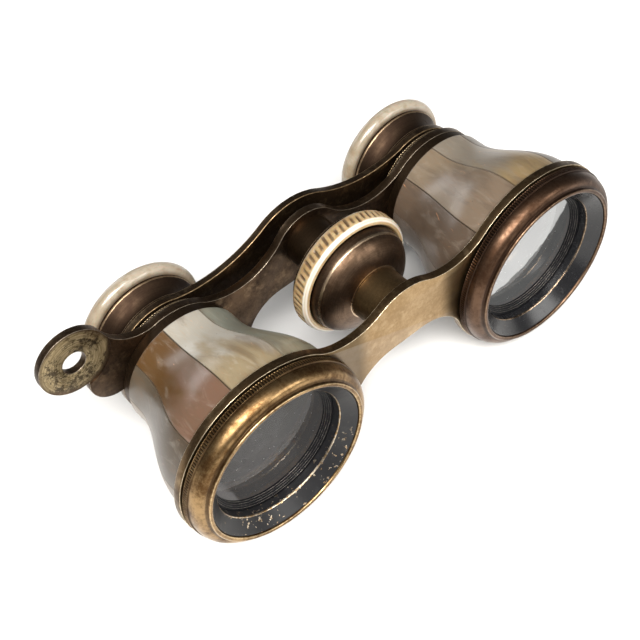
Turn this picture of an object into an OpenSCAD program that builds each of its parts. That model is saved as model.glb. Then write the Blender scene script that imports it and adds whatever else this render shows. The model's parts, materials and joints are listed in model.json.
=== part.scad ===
// Opera glasses: two pearl-clad brass barrels, three bridges and a central focus wheel.
// +X runs across the barrels, +Y from the objectives to the eyepieces, +Z up. Sizes are
// in millimetres. Depths called "_s" are measured along +Y from the front of the lips.

/* [Barrels] */
// Distance between the axes of the two barrels
barrel_spacing = 62; // [61:0.5:64]
// Outer radius of the pearl cladding at the objective end
front_r = 17.45; // [17.3:0.05:17.6]
// Outer radius of the pearl cladding at the waist
waist_r = 12.15; // [12:0.05:12.4]
// Depth where the flare starts to narrow
flare_front_s = 9.3; // [8.5:0.1:10]
// Depth where the flare reaches the waist
flare_rear_s = 26.2; // [25:0.1:27]
// Number of pearl staves around a barrel
stave_count = 10; // [8:1:10]
// Thickness of a pearl stave
stave_t = 1; // [0.8:0.05:1.1]
// Width of the seam between two staves, at the waist
seam_w = 0.22; // [0.1:0.02:0.4]
// Wall of the spun brass barrel tube
tube_wall = 0.6; // [0.5:0.05:0.7]

/* [Objectives] */
// Radius of the crest of the front lip
lip_r = 15.9; // [15.85:0.05:16]
// Radius of the knurled rim
knurl_r = 18.5; // [18.4:0.05:18.6]
// Radius of the clear opening in the black hood
hood_r = 13.1; // [12.8:0.05:13.4]
// Radius of the objective glass
glass_r = 13.9; // [13.8:0.05:13.95]
// Radius of curvature of the objective's front face
glass_front_curve = 90; // [80:1:120]
// Radius of curvature of the cemented face
glass_inner_curve = 60; // [55:1:80]

/* [Bridges] */
// Radius of the front bridge's rings
front_ring_r = 18.7; // [18.6:0.05:18.8]
// Radius of the rear bridge's rings
rear_ring_r = 11.8; // [11.6:0.05:12]
// Radius of the eyepiece bridge's rings
eyepiece_ring_r = 10.6; // [10.4:0.05:10.8]
// Thickness of the front and rear bridges
bridge_t = 1.6; // [1.5:0.05:1.6]
// Thickness of the eyepiece bridge
eyepiece_bridge_t = 1.4; // [1.2:0.05:1.4]

/* [Handle lug] */
// Outer radius of the lug
lug_r = 6.6; // [6:0.1:7]
// Radius of the pivot hole
lug_hole_r = 2.2; // [1.8:0.05:2.6]
// Distance from the barrel axis out to the hole
lug_out = 18.1; // [17.6:0.1:18.6]
// Height of the hole above the barrel axes
lug_up = 14.7; // [14:0.1:15.4]
// Depth of the turned face round the hole
lug_face_depth = 0.15; // [0.1:0.05:0.3]

/* [Focus] */
// Height of the focus screw above the barrel axes
focus_z = 7.7; // [7.4:0.1:8]
// Radius of the focus wheel
wheel_r = 12; // [11.7:0.1:12.2]
// Radius of the wheel's brass hub
hub_r = 10.4; // [10.2:0.05:10.5]
// Radius of the column between the front bridge and the hub
column_r = 5.15; // [4.9:0.05:5.2]
// Radius of the focus screw
screw_r = 2.4; // [2.2:0.05:2.4]
// Radial clearance of a running fit
running_gap = 0.06; // [0.04:0.01:0.08]

/* [Eyepieces] */
// Outer radius of the sliding draw tubes
draw_r = 7.9; // [7.8:0.05:7.95]
// Outer radius of the pearl eye rings
eye_ring_r = 12.6; // [12.3:0.05:12.8]
// Radius of the eye lens
eye_glass_r = 7.6; // [7.4:0.05:7.65]

/* [Hidden] */
round_fn = 96;
barrel_x = barrel_spacing / 2;
right = -barrel_x;
left = barrel_x;
overall_l = 44.3;
reach_right = barrel_x + lug_out + lug_r;
reach_left = barrel_x + front_ring_r;
origin_x = (reach_right - reach_left) / 2;
origin_y = -overall_l / 2;
axis_h = front_ring_r;

// Stations along the axis, from the front of the lips
tube_front_s = 4.6;
front_bridge_s = 4.8;
clad_front_s = front_bridge_s + bridge_t + 0.05;
clad_rear_s = 28.95;
rear_bridge_s = 31.1;
gland_s = rear_bridge_s + bridge_t + 0.05;
eyepiece_bridge_s = 34.8;
bell_s = eyepiece_bridge_s + eyepiece_bridge_t + 0.05;
eye_ring_s = 41.5;
column_rear_s = 12.85;
wheel_front_s = 12.92;
wheel_rear_s = 21.2;
wheel_back_t = 0.8;
bush_front_s = wheel_rear_s + wheel_back_t + 0.15;

tube_front_r = front_r - stave_t;
tube_rear_r = waist_r - stave_t;
spigot_r = 9.6;
fit_gap = 0.05;
stave_angle = 360 / stave_count;
seam_angle = seam_w / waist_r * 180 / PI;
right_seam = 102.2;
left_seam = 97.2;
flare_steps = 14;

brass = "#a98a56";
dark_brass = "#5c4a33";
bronze = "#6e5a42";
pearl = "#d9cfbd";
bone = "#e4dccb";
lacquer = "#1d1d20";
optical_glass = "#b9c4cc";

// Points of an arc about a centre, from one angle to another
function arc(centre, r, from, to, steps = 10) =
    [for (i = [0 : steps]) let (a = from + (to - from) * i / steps)
        centre + r * [cos(a), sin(a)]];

// Cladding radius at a depth: two cylinders joined by half a cosine wave
function clad_r(s) =
    let (t = min(1, max(0, (s - flare_front_s) / (flare_rear_s - flare_front_s))))
    waist_r + (front_r - waist_r) * (1 + cos(180 * t)) / 2;

// The flare as [radius, depth] points, a given distance inside the cladding
function flare(inset) =
    [for (i = [0 : flare_steps])
        let (s = flare_front_s + (flare_rear_s - flare_front_s) * i / flare_steps)
        [clad_r(s) - inset, s]];

function reversed(points) = [for (i = [len(points) - 1 : -1 : 0]) points[i]];

// A spherical lens face from its edge to the axis; a positive curve bulges to the front
function lens_face(vertex_s, curve, edge_r, steps = 16) =
    [for (i = [0 : steps])
        let (r = edge_r * i / steps)
        [r, vertex_s + sign(curve) * (abs(curve) - sqrt(curve * curve - r * r))]];

// Centre of a circle that lies ra from a and rb from b, to the left of the way from a to b
function fillet_centre(a, ra, b, rb) =
    let (d = norm(b - a),
         u = (b - a) / d,
         along = (ra * ra - rb * rb + d * d) / (2 * d))
    a + along * u + sqrt(ra * ra - along * along) * [-u.y, u.x];

// Puts a piece drawn about its own axis at a barrel, or at the focus screw
module at(x = 0, z = 0) {
    translate([origin_x + x, origin_y, axis_h + z]) children();
}

// Turns a [radius, depth] profile about the optical axis
module turned(profile) {
    rotate([-90, 0, 0]) rotate_extrude($fn = round_fn) polygon(profile);
}

// A round hole or disc along the axis
module bar(r, from_s, to_s) {
    translate([0, from_s, 0]) rotate([-90, 0, 0]) cylinder(h = to_s - from_s, r = r, $fn = round_fn);
}

// A flat plate cut to an [x, z] outline
module plate(outline, from_s, thickness) {
    translate([0, from_s + thickness, 0]) rotate([90, 0, 0]) linear_extrude(thickness) polygon(outline);
}

module both_barrels() {
    for (x = [right, left]) translate([x, 0, 0]) children();
}

// Half of a bridge's web. A hump at the middle and a dip beside it are arcs that meet
// smoothly, the dip runs into the ring, and an arch is cut from below.
function web_half(ring_r, top_z, dip_z, dip_r, arch_z, arch_x, arch_r, arch_end) =
    let (bite_r = ring_r - 0.1,
         ring = [barrel_x, 0],
         dip_up = dip_z + dip_r,
         dip = [barrel_x - sqrt(pow(bite_r + dip_r, 2) - dip_up * dip_up), dip_up],
         drop = dip_up - top_z,
         hump_r = (dip.x * dip.x + drop * drop - dip_r * dip_r) / (2 * (dip_r - drop)),
         hump = [0, top_z - hump_r],
         join = atan2(dip.y - hump.y, dip.x),
         arch = [arch_x, arch_z - arch_r],
         foot = arch + arch_r * [cos(arch_end), sin(arch_end)] - ring,
         touch = atan2(foot.y, foot.x) + acos(min(1, bite_r / norm(foot))))
    concat(
        arc(hump, hump_r, 90, join, 8),
        arc(dip, dip_r, join + 180, 360 + atan2(-dip.y, barrel_x - dip.x), 16),
        [ring, ring + bite_r * [cos(touch), sin(touch)]],
        arc(arch, arch_r, arch_end, 90, 12));

// The whole web, from a right half that starts at the top of the hump
function web(half) =
    concat(half, reversed([for (i = [1 : len(half) - 1]) [-half[i].x, half[i].y]]));

// --- Barrels ---

module barrel_tube() {
    inner_r = tube_rear_r - tube_wall;
    color(dark_brass) turned(concat(
        [[tube_front_r, tube_front_s]],
        flare(stave_t),
        [[tube_rear_r, rear_bridge_s], [spigot_r, rear_bridge_s],
         [spigot_r, rear_bridge_s + bridge_t], [spigot_r - tube_wall, rear_bridge_s + bridge_t],
         [spigot_r - tube_wall, rear_bridge_s - tube_wall], [inner_r, rear_bridge_s - tube_wall]],
        reversed(flare(stave_t + tube_wall)),
        [[tube_front_r - tube_wall, tube_front_s]]));
}

// One stave between two seams; the first seam stands at the angle given
module stave(index, first_seam) {
    start = first_seam + (index - 1) * stave_angle + seam_angle / 2;
    span = stave_angle - seam_angle;
    outer = concat([[front_r, clad_front_s]], flare(0), [[waist_r, clad_rear_s]]);
    inner = concat([[tube_front_r, clad_front_s]], flare(stave_t), [[tube_rear_r, clad_rear_s]]);
    color(pearl) rotate([-90, 0, 0]) rotate([0, 0, -start - span])
        rotate_extrude(angle = span, $fn = round_fn) polygon(concat(outer, reversed(inner)));
}

// Thin brass band that covers the rear ends of the staves
module stave_band() {
    band_r = waist_r - 0.4;
    seat_r = tube_rear_r + fit_gap;
    color(dark_brass) turned([
        [seat_r, clad_rear_s + fit_gap], [band_r, clad_rear_s + fit_gap],
        [band_r, rear_bridge_s - fit_gap], [seat_r, rear_bridge_s - fit_gap]]);
}

// --- Objectives ---

// Bezel with a rounded lip, a quarter-round shoulder, a knurled rim and a sleeve
module objective_cell() {
    lip_bead = 0.4;
    shoulder = [lip_r + 0.7, 3.2];
    shoulder_r = knurl_r - 0.25 - shoulder.x;
    rim_rear_s = tube_front_s - 0.1;
    sleeve_r = tube_front_r - tube_wall - 0.1;
    sleeve_rear_s = 11.5;
    bore_r = glass_r + 0.15;
    seat_r = bore_r - 1.3;
    seat_t = 0.5;
    hood_seat_s = 3.6;
    color(brass) turned(concat(
        reversed(arc([lip_r, lip_bead], lip_bead, 0, -180, 8)),
        [[lip_r + 0.65, 0.75]],
        [for (a = [0 : 10 : 90]) shoulder + [shoulder_r * sin(a), -2.4 * cos(a)]],
        [[knurl_r, 3.3], [knurl_r, rim_rear_s - 0.1], [knurl_r - 0.2, rim_rear_s],
         [sleeve_r, rim_rear_s], [sleeve_r, flare_front_s], [sleeve_r - 0.4, sleeve_rear_s],
         [seat_r, sleeve_rear_s], [seat_r, sleeve_rear_s - seat_t], [bore_r, sleeve_rear_s - seat_t],
         [bore_r, hood_seat_s], [lip_r - lip_bead, hood_seat_s]]));
}

// Black hood whose coned face leads in from the lip
module lens_hood() {
    outer_r = lip_r - 0.45;
    step_r = glass_r + 0.1;
    color(lacquer) turned([
        [outer_r, 0.45], [outer_r, 3.55], [step_r, 3.55], [step_r, 4.2], [hood_r, 4.2],
        [hood_r, 2.56], [outer_r - 0.1, 0.4]]);
}

module lens_retaining_ring() {
    color(lacquer) turned([
        [glass_r + 0.1, 4.25], [hood_r - 0.5, 4.25], [hood_r - 1.2, 5.2],
        [hood_r - 1.2, 5.6], [glass_r + 0.1, 5.6]]);
}

module crown_lens() {
    color(optical_glass, 0.5) turned(concat(
        lens_face(4.95, glass_front_curve, glass_r),
        reversed(lens_face(9.4, -glass_inner_curve, glass_r))));
}

module flint_lens() {
    color(optical_glass, 0.5) turned(concat(
        lens_face(9.45, -glass_inner_curve, glass_r), [[glass_r, 10.95], [0, 10.95]]));
}

// --- Bridges ---

module front_bridge() {
    outline = web(web_half(front_ring_r, 14.7, 11.5, 12, 1.9, 3.5, 10, 16.4));
    rear_s = front_bridge_s + bridge_t;
    color(brass) difference() {
        union() {
            plate(outline, front_bridge_s, bridge_t);
            both_barrels() bar(front_ring_r, front_bridge_s, rear_s);
        }
        both_barrels() bar(tube_front_r + fit_gap, front_bridge_s - 1, rear_s + 1);
        translate([0, 0, focus_z]) bar(2.9, rear_s - 0.9, rear_s + 1);
    }
}

// Neck from the ring up to the lug, hollowed above by a fillet
module lug_plate(from_s, thickness) {
    fillet_r = 8.5;
    root_r = 5.1;
    ring = [right, 0];
    lug = [right - lug_out, lug_up];
    root = [right - 12.1, 6.6];
    fillet = fillet_centre(lug, lug_r + fillet_r, ring, rear_ring_r - 0.1 + fillet_r);
    to_lug = lug - fillet;
    to_ring = ring - fillet;
    plate(concat(
        arc(fillet, fillet_r, atan2(to_lug.y, to_lug.x), atan2(to_ring.y, to_ring.x), 12),
        [ring, root, lug]), from_s, thickness);
    translate([lug.x, 0, lug.y]) bar(lug_r, from_s, from_s + thickness);
    translate([root.x, 0, root.y]) bar(root_r, from_s, from_s + thickness);
}

module rear_bridge() {
    outline = web(web_half(rear_ring_r, 14, 6.7, 13.4, -0.5, 7.5, 9, 15));
    rear_s = rear_bridge_s + bridge_t;
    color(dark_brass) difference() {
        union() {
            plate(outline, rear_bridge_s, bridge_t);
            both_barrels() bar(rear_ring_r, rear_bridge_s, rear_s);
            lug_plate(rear_bridge_s, bridge_t);
        }
        both_barrels() bar(spigot_r + fit_gap, rear_bridge_s - 1, rear_s + 1);
        translate([0, 0, focus_z]) bar(3.65, rear_bridge_s - 1, rear_s + 1);
        translate([right - lug_out, 0, lug_up]) {
            bar(lug_hole_r, rear_bridge_s - 1, rear_s + 1);
            bar(lug_r + 0.3, rear_bridge_s - 1, rear_bridge_s + lug_face_depth);
        }
    }
}

module eyepiece_bridge() {
    outline = web(web_half(eyepiece_ring_r, 14.3, 8.8, 26, -0.5, 7.5, 9, 15));
    rear_s = eyepiece_bridge_s + eyepiece_bridge_t;
    color(dark_brass) difference() {
        union() {
            plate(outline, eyepiece_bridge_s, eyepiece_bridge_t);
            both_barrels() bar(eyepiece_ring_r, eyepiece_bridge_s, rear_s);
        }
        both_barrels() bar(draw_r + fit_gap, eyepiece_bridge_s - 1, rear_s + 1);
        translate([0, 0, focus_z]) bar(2.05, eyepiece_bridge_s - 1, rear_s + 1);
    }
}

// --- Rear of the barrels ---

// Knurled nut that holds the rear bridge on its spigot and guides the draw tube
module gland_ring() {
    bore_r = draw_r + running_gap;
    nose_r = spigot_r - tube_wall - 0.1;
    gland_r = 10.9;
    gland_t = 1.15;
    color(bronze) turned([
        [bore_r, gland_s - 1.2], [nose_r, gland_s - 1.2], [nose_r, gland_s],
        [gland_r - 0.15, gland_s], [gland_r, gland_s + 0.15],
        [gland_r, gland_s + gland_t - 0.15], [gland_r - 0.15, gland_s + gland_t],
        [bore_r, gland_s + gland_t]]);
}

// Cork-lined bush inside the barrel that the draw tube slides in
module guide_bush() {
    outer_r = tube_rear_r - tube_wall - fit_gap;
    inner_r = draw_r + running_gap;
    rear_s = rear_bridge_s - tube_wall - fit_gap;
    color("#4a3526") turned([
        [inner_r, rear_s - 3.8], [outer_r, rear_s - 3.8], [outer_r, rear_s], [inner_r, rear_s]]);
}

// --- Focus ---

module column_tube() {
    front_s = front_bridge_s + bridge_t;
    spigot = 2.85;
    bore_r = screw_r + 0.3;
    color(bronze) turned([
        [0, front_s - 0.85], [spigot, front_s - 0.85], [spigot, front_s], [column_r, front_s],
        [column_r, column_rear_s], [bore_r, column_rear_s], [bore_r, front_s + 0.8],
        [0, front_s + 0.8]]);
}

// Domed hub: a flattened ellipse outside, a boss on the screw and an open back
module wheel_hub() {
    dome_base_s = 17.9;
    dome_h = 5.4;
    dome_power = 0.8;
    boss_r = 4.2;
    bore_r = screw_r + running_gap;
    color(bronze) turned(concat(
        [[bore_r, wheel_front_s]],
        [for (i = [0 : 12])
            let (a = 25.5 + (90 - 25.5) * i / 12)
            [hub_r * pow(sin(a), dome_power), dome_base_s - dome_h * pow(cos(a), dome_power)]],
        [[hub_r, wheel_rear_s], [hub_r - 1, wheel_rear_s], [hub_r - 1, 17.9],
         [hub_r - 1.8, 16], [boss_r + 1, 14.3], [boss_r, 14.3],
         [boss_r, wheel_rear_s], [bore_r, wheel_rear_s]]));
}

module wheel_ring() {
    seat_r = hub_r + fit_gap;
    color(bone) turned([
        [seat_r, 17.8], [hub_r + 0.35, 17.65], [wheel_r - 0.5, 17.8], [wheel_r - 0.15, 18.2],
        [wheel_r, 18.8], [wheel_r, 20.6], [wheel_r - 0.2, 21], [wheel_r - 0.6, wheel_rear_s],
        [seat_r, wheel_rear_s]]);
}

// Brass plate that closes the hub and clamps the pearl ring
module wheel_back_plate() {
    front_s = wheel_rear_s + fit_gap;
    rear_s = wheel_rear_s + wheel_back_t + fit_gap;
    rim_r = wheel_r - 1;
    bore_r = screw_r + 0.2;
    color(dark_brass) turned([
        [bore_r, front_s], [rim_r, front_s], [rim_r, rear_s - 0.2], [rim_r - 0.2, rear_s],
        [bore_r, rear_s]]);
}

// Fixed post on the rear bridge that the screw slides through
module rear_bush() {
    post_r = 5;
    spigot = 3.6;
    bore_r = screw_r + running_gap;
    color(dark_brass) turned([
        [bore_r, bush_front_s], [post_r - 0.3, bush_front_s], [post_r, bush_front_s + 0.3],
        [post_r, rear_bridge_s], [spigot, rear_bridge_s], [spigot, rear_bridge_s + bridge_t],
        [bore_r, rear_bridge_s + bridge_t]]);
}

module focus_screw() {
    rear_s = eyepiece_bridge_s + eyepiece_bridge_t;
    color(brass) turned([
        [0, 9], [screw_r - 0.3, 9], [screw_r, 9.3], [screw_r, eyepiece_bridge_s], [2, eyepiece_bridge_s],
        [2, rear_s], [1.5, rear_s], [1.5, rear_s + 1.4], [0, rear_s + 1.4]]);
}

// Domed nut with a driver slot, on the back of the eyepiece bridge
module screw_nut() {
    rear_s = eyepiece_bridge_s + eyepiece_bridge_t + fit_gap;
    nut_r = 3.4;
    nut_h = 2.1;
    color(bronze) difference() {
        turned([
            [1.55, rear_s], [nut_r, rear_s], [nut_r, rear_s + 1], [nut_r - 0.25, rear_s + 1.5],
            [nut_r - 0.9, rear_s + 1.9], [nut_r - 1.8, rear_s + nut_h], [0, rear_s + nut_h],
            [0, rear_s + 1.45], [1.55, rear_s + 1.45]]);
        translate([-nut_r - 1, rear_s + 1.6, -0.35]) cube([2 * nut_r + 2, 1, 0.7]);
    }
}

// --- Eyepieces ---

module draw_tube() {
    front_s = 20;
    rear_s = 37.6;
    color(brass) turned([
        [draw_r - 0.5, front_s], [draw_r, front_s], [draw_r, rear_s], [draw_r - 0.5, rear_s]]);
}

// Flared cup: a foot against the bridge, a hollow neck and a beaded rim
module eyepiece_bell() {
    foot_r = eyepiece_ring_r - 0.4;
    neck_r = eyepiece_ring_r - 1.4;
    rim_r = 11.05;
    flare_h = 3.2;
    neck_s = bell_s + 1;
    tail_r = 9.3;
    tail_s = 42.6;
    color(bronze) turned(concat(
        [[draw_r + fit_gap, bell_s], [foot_r, bell_s], [foot_r, bell_s + 0.6]],
        [for (i = [0 : 8])
            [neck_r + (rim_r - 0.25 - neck_r) * pow(i / 8, 2), neck_s + flare_h * i / 8]],
        [[rim_r, eye_ring_s - 0.6], [rim_r, eye_ring_s - 0.05], [tail_r, eye_ring_s - 0.05],
         [tail_r, tail_s], [eye_glass_r + 0.1, tail_s], [eye_glass_r + 0.1, 38.05],
         [eye_glass_r - 0.7, 38.05], [eye_glass_r - 0.7, 37.65], [draw_r + fit_gap, 37.65]]));
}

// Pearl ring with a full round edge and a dished back
module eye_ring() {
    seat_r = 9.35;
    inner_r = 7.3;
    lap_s = 42.7;
    edge = [eye_ring_r - 1.3, 42.9];
    color(bone) turned(concat(
        [[seat_r, eye_ring_s]],
        arc(edge, 1.3, -75, 80, 12),
        [[10.2, overall_l], [8.7, 43.9], [7.7, 43.3], [inner_r, lap_s + 0.3],
         [inner_r, lap_s], [seat_r, lap_s]]));
}

module eye_lens() {
    edge_front = lens_face(38.85, -40, eye_glass_r);
    edge_rear = lens_face(39.75, 18, eye_glass_r);
    color(optical_glass, 0.5) turned(concat(edge_front, reversed(edge_rear)));
}

module eye_lens_ring() {
    color(lacquer) turned([
        [6.9, 41.55], [eye_glass_r + 0.05, 41.55], [eye_glass_r + 0.05, 42.45], [7.1, 42.45]]);
}

// --- Assembly: one line for each node ---

at(right) barrel_tube();  // barrel_tube_right
at(left) barrel_tube();  // barrel_tube_left
at(right) stave_band();  // stave_band_right
at(left) stave_band();  // stave_band_left
at(right) objective_cell();  // objective_cell_right
at(left) objective_cell();  // objective_cell_left
at(right) lens_hood();  // lens_hood_right
at(left) lens_hood();  // lens_hood_left
at(right) lens_retaining_ring();  // lens_retaining_ring_right
at(left) lens_retaining_ring();  // lens_retaining_ring_left
at(right) crown_lens();  // crown_lens_right
at(left) crown_lens();  // crown_lens_left
at(right) flint_lens();  // flint_lens_right
at(left) flint_lens();  // flint_lens_left
at(right) gland_ring();  // gland_ring_right
at(left) gland_ring();  // gland_ring_left
at(right) guide_bush();  // guide_bush_right
at(left) guide_bush();  // guide_bush_left
at(right) draw_tube();  // draw_tube_right
at(left) draw_tube();  // draw_tube_left
at(right) eyepiece_bell();  // eyepiece_bell_right
at(left) eyepiece_bell();  // eyepiece_bell_left
at(right) eye_ring();  // eye_ring_right
at(left) eye_ring();  // eye_ring_left
at(right) eye_lens();  // eye_lens_right
at(left) eye_lens();  // eye_lens_left
at(right) eye_lens_ring();  // eye_lens_ring_right
at(left) eye_lens_ring();  // eye_lens_ring_left
for (i = [1 : stave_count]) {
    at(right) stave(i, right_seam);
    at(left) stave(i, left_seam);
}
at() front_bridge();
at() rear_bridge();
at() eyepiece_bridge();
at(0, focus_z) column_tube();
at(0, focus_z) rear_bush();
at(0, focus_z) wheel_hub();
at(0, focus_z) wheel_ring();
at(0, focus_z) wheel_back_plate();
at(0, focus_z) focus_screw();
at(0, focus_z) screw_nut();
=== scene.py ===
import json
import math
from types import SimpleNamespace as Values

import bmesh
import bpy
import numpy as np
from mathutils import Matrix, Vector

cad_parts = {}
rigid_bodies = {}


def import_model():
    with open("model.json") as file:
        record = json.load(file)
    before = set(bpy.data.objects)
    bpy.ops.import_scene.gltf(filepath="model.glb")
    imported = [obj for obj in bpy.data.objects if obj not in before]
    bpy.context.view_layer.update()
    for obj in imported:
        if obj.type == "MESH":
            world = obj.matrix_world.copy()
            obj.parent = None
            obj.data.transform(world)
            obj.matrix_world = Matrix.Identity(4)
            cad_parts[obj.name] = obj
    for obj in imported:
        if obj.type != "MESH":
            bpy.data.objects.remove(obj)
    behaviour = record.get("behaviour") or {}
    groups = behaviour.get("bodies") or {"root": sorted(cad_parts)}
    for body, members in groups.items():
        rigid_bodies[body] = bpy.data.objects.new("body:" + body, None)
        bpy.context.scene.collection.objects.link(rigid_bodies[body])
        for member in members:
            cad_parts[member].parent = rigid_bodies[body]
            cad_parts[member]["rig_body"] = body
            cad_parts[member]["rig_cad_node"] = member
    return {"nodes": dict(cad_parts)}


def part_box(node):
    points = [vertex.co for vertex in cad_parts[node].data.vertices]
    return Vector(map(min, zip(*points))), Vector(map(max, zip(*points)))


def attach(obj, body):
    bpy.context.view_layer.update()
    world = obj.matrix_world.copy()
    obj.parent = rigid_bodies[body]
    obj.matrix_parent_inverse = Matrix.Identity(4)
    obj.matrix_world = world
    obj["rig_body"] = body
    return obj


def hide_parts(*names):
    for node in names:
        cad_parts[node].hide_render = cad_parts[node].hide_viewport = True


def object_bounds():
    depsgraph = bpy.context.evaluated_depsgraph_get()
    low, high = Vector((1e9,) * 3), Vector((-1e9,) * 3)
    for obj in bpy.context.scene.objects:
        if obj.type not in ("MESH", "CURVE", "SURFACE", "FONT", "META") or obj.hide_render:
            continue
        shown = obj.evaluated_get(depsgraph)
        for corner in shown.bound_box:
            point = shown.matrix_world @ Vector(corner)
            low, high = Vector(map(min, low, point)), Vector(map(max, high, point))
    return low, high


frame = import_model()
cadLow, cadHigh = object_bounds()
mm = 0.001
fullTurn = 2 * math.pi
print("frame loaded:", len(frame["nodes"]), "nodes")

# ---------------------------------------------------------------- camera and light
studio = Values(
    heading=34.78,   # where the camera looks, in degrees from +Y towards +X
    dip=49.9,        # how far it looks down
    roll=-7.48,      # how far it leans about its own line of sight
    distance=215.6,  # from the aimed point
    aimAside=(-3.68, -1.21, -2.6),  # aimed point, from the middle of the object
    lens=66.5,
    clip=(0.01, 20.0),
    floorSize=4000.0,
    floorColour=(0.80, 0.80, 0.795),
    skyColour=(1.0, 0.985, 0.96),
    skyStrength=0.10,
)
softboxes = [
    # name, from where (x, y, z), width, height, watts, colour
    ("keySoftbox", (-220, -330, 580), 520, 320, 12.0, (1.0, 0.975, 0.94)),
    ("frontSoftbox", (330, -620, 330), 420, 260, 2.4, (1.0, 0.985, 0.96)),
    ("backSoftbox", (-120, 700, 220), 520, 200, 1.5, (0.97, 0.985, 1.0)),
]
middle = (cadLow + cadHigh) / 2


def link(thing):
    # Every object made here goes into the scene's own collection
    bpy.context.scene.collection.objects.link(thing)


def aimCamera():
    # forward = (sin h cos d, cos h cos d, -sin d); right = forward x up, leaned by roll; the camera
    # stands the distance back from the aimed point
    heading, dip, roll = (math.radians(a) for a in (studio.heading, studio.dip, studio.roll))
    forward = Vector((math.sin(heading) * math.cos(dip), math.cos(heading) * math.cos(dip), -math.sin(dip)))
    level = forward.cross(Vector((0, 0, 1))).normalized()
    upright = level.cross(forward)
    right = level * math.cos(roll) + upright * math.sin(roll)
    lens = bpy.data.cameras.new("studioCamera")
    lens.lens, (lens.clip_start, lens.clip_end) = studio.lens, studio.clip
    camera = bpy.data.objects.new("studioCamera", lens)
    aim = middle + Vector(studio.aimAside) * mm
    turn = Matrix((right, right.cross(forward), -forward)).transposed()
    camera.matrix_world = Matrix.Translation(aim - forward * studio.distance * mm) @ turn.to_4x4()
    link(camera)
    bpy.context.scene.camera = camera


def hangLights():
    # Area lights turned towards the middle of the object, under a dim even sky
    for name, place, width, height, watts, colour in softboxes:
        light = bpy.data.lights.new(name, "AREA")
        light.shape, light.size, light.size_y = "RECTANGLE", width * mm, height * mm
        light.energy, light.color = watts, colour
        lamp = bpy.data.objects.new(name, light)
        lamp.location = middle + Vector(place) * mm
        lamp.rotation_euler = (middle - lamp.location).to_track_quat("-Z", "Y").to_euler()
        link(lamp)
    sky = bpy.data.worlds.new("studioSky")
    sky.use_nodes = True
    backdrop = sky.node_tree.nodes["Background"]
    backdrop.inputs["Color"].default_value = (*studio.skyColour, 1)
    backdrop.inputs["Strength"].default_value = studio.skyStrength
    bpy.context.scene.world = sky
    bpy.context.scene.view_settings.view_transform = "Standard"


aimCamera()
hangLights()
print("camera and lights placed")


# ---------------------------------------------------------------- shader helpers
def arithmetic(operation, swapped=False):
    # An operator of Wire: one maths node, with its two values in the order they were written
    def apply(wire, other):
        first, second = (other, wire) if swapped else (wire, other)
        return wire.finish.node("ShaderNodeMath", {"operation": operation}, {0: first, 1: second})
    return apply


class Wire:
    # One output socket, so that shader maths is written as arithmetic
    __add__, __radd__ = arithmetic("ADD"), arithmetic("ADD", True)
    __sub__, __rsub__ = arithmetic("SUBTRACT"), arithmetic("SUBTRACT", True)
    __mul__, __rmul__ = arithmetic("MULTIPLY"), arithmetic("MULTIPLY", True)
    __truediv__, __pow__ = arithmetic("DIVIDE"), arithmetic("POWER")
    most, least = arithmetic("MAXIMUM"), arithmetic("MINIMUM")

    def __init__(self, finish, socket):
        self.finish, self.socket = finish, socket

    def above(self, low, high):  # 0 below low, 1 above high, smooth between
        return self.finish.node("ShaderNodeMapRange", {"interpolation_type": "SMOOTHSTEP"},
                                {"Value": self, "From Min": low, "From Max": high})


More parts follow.
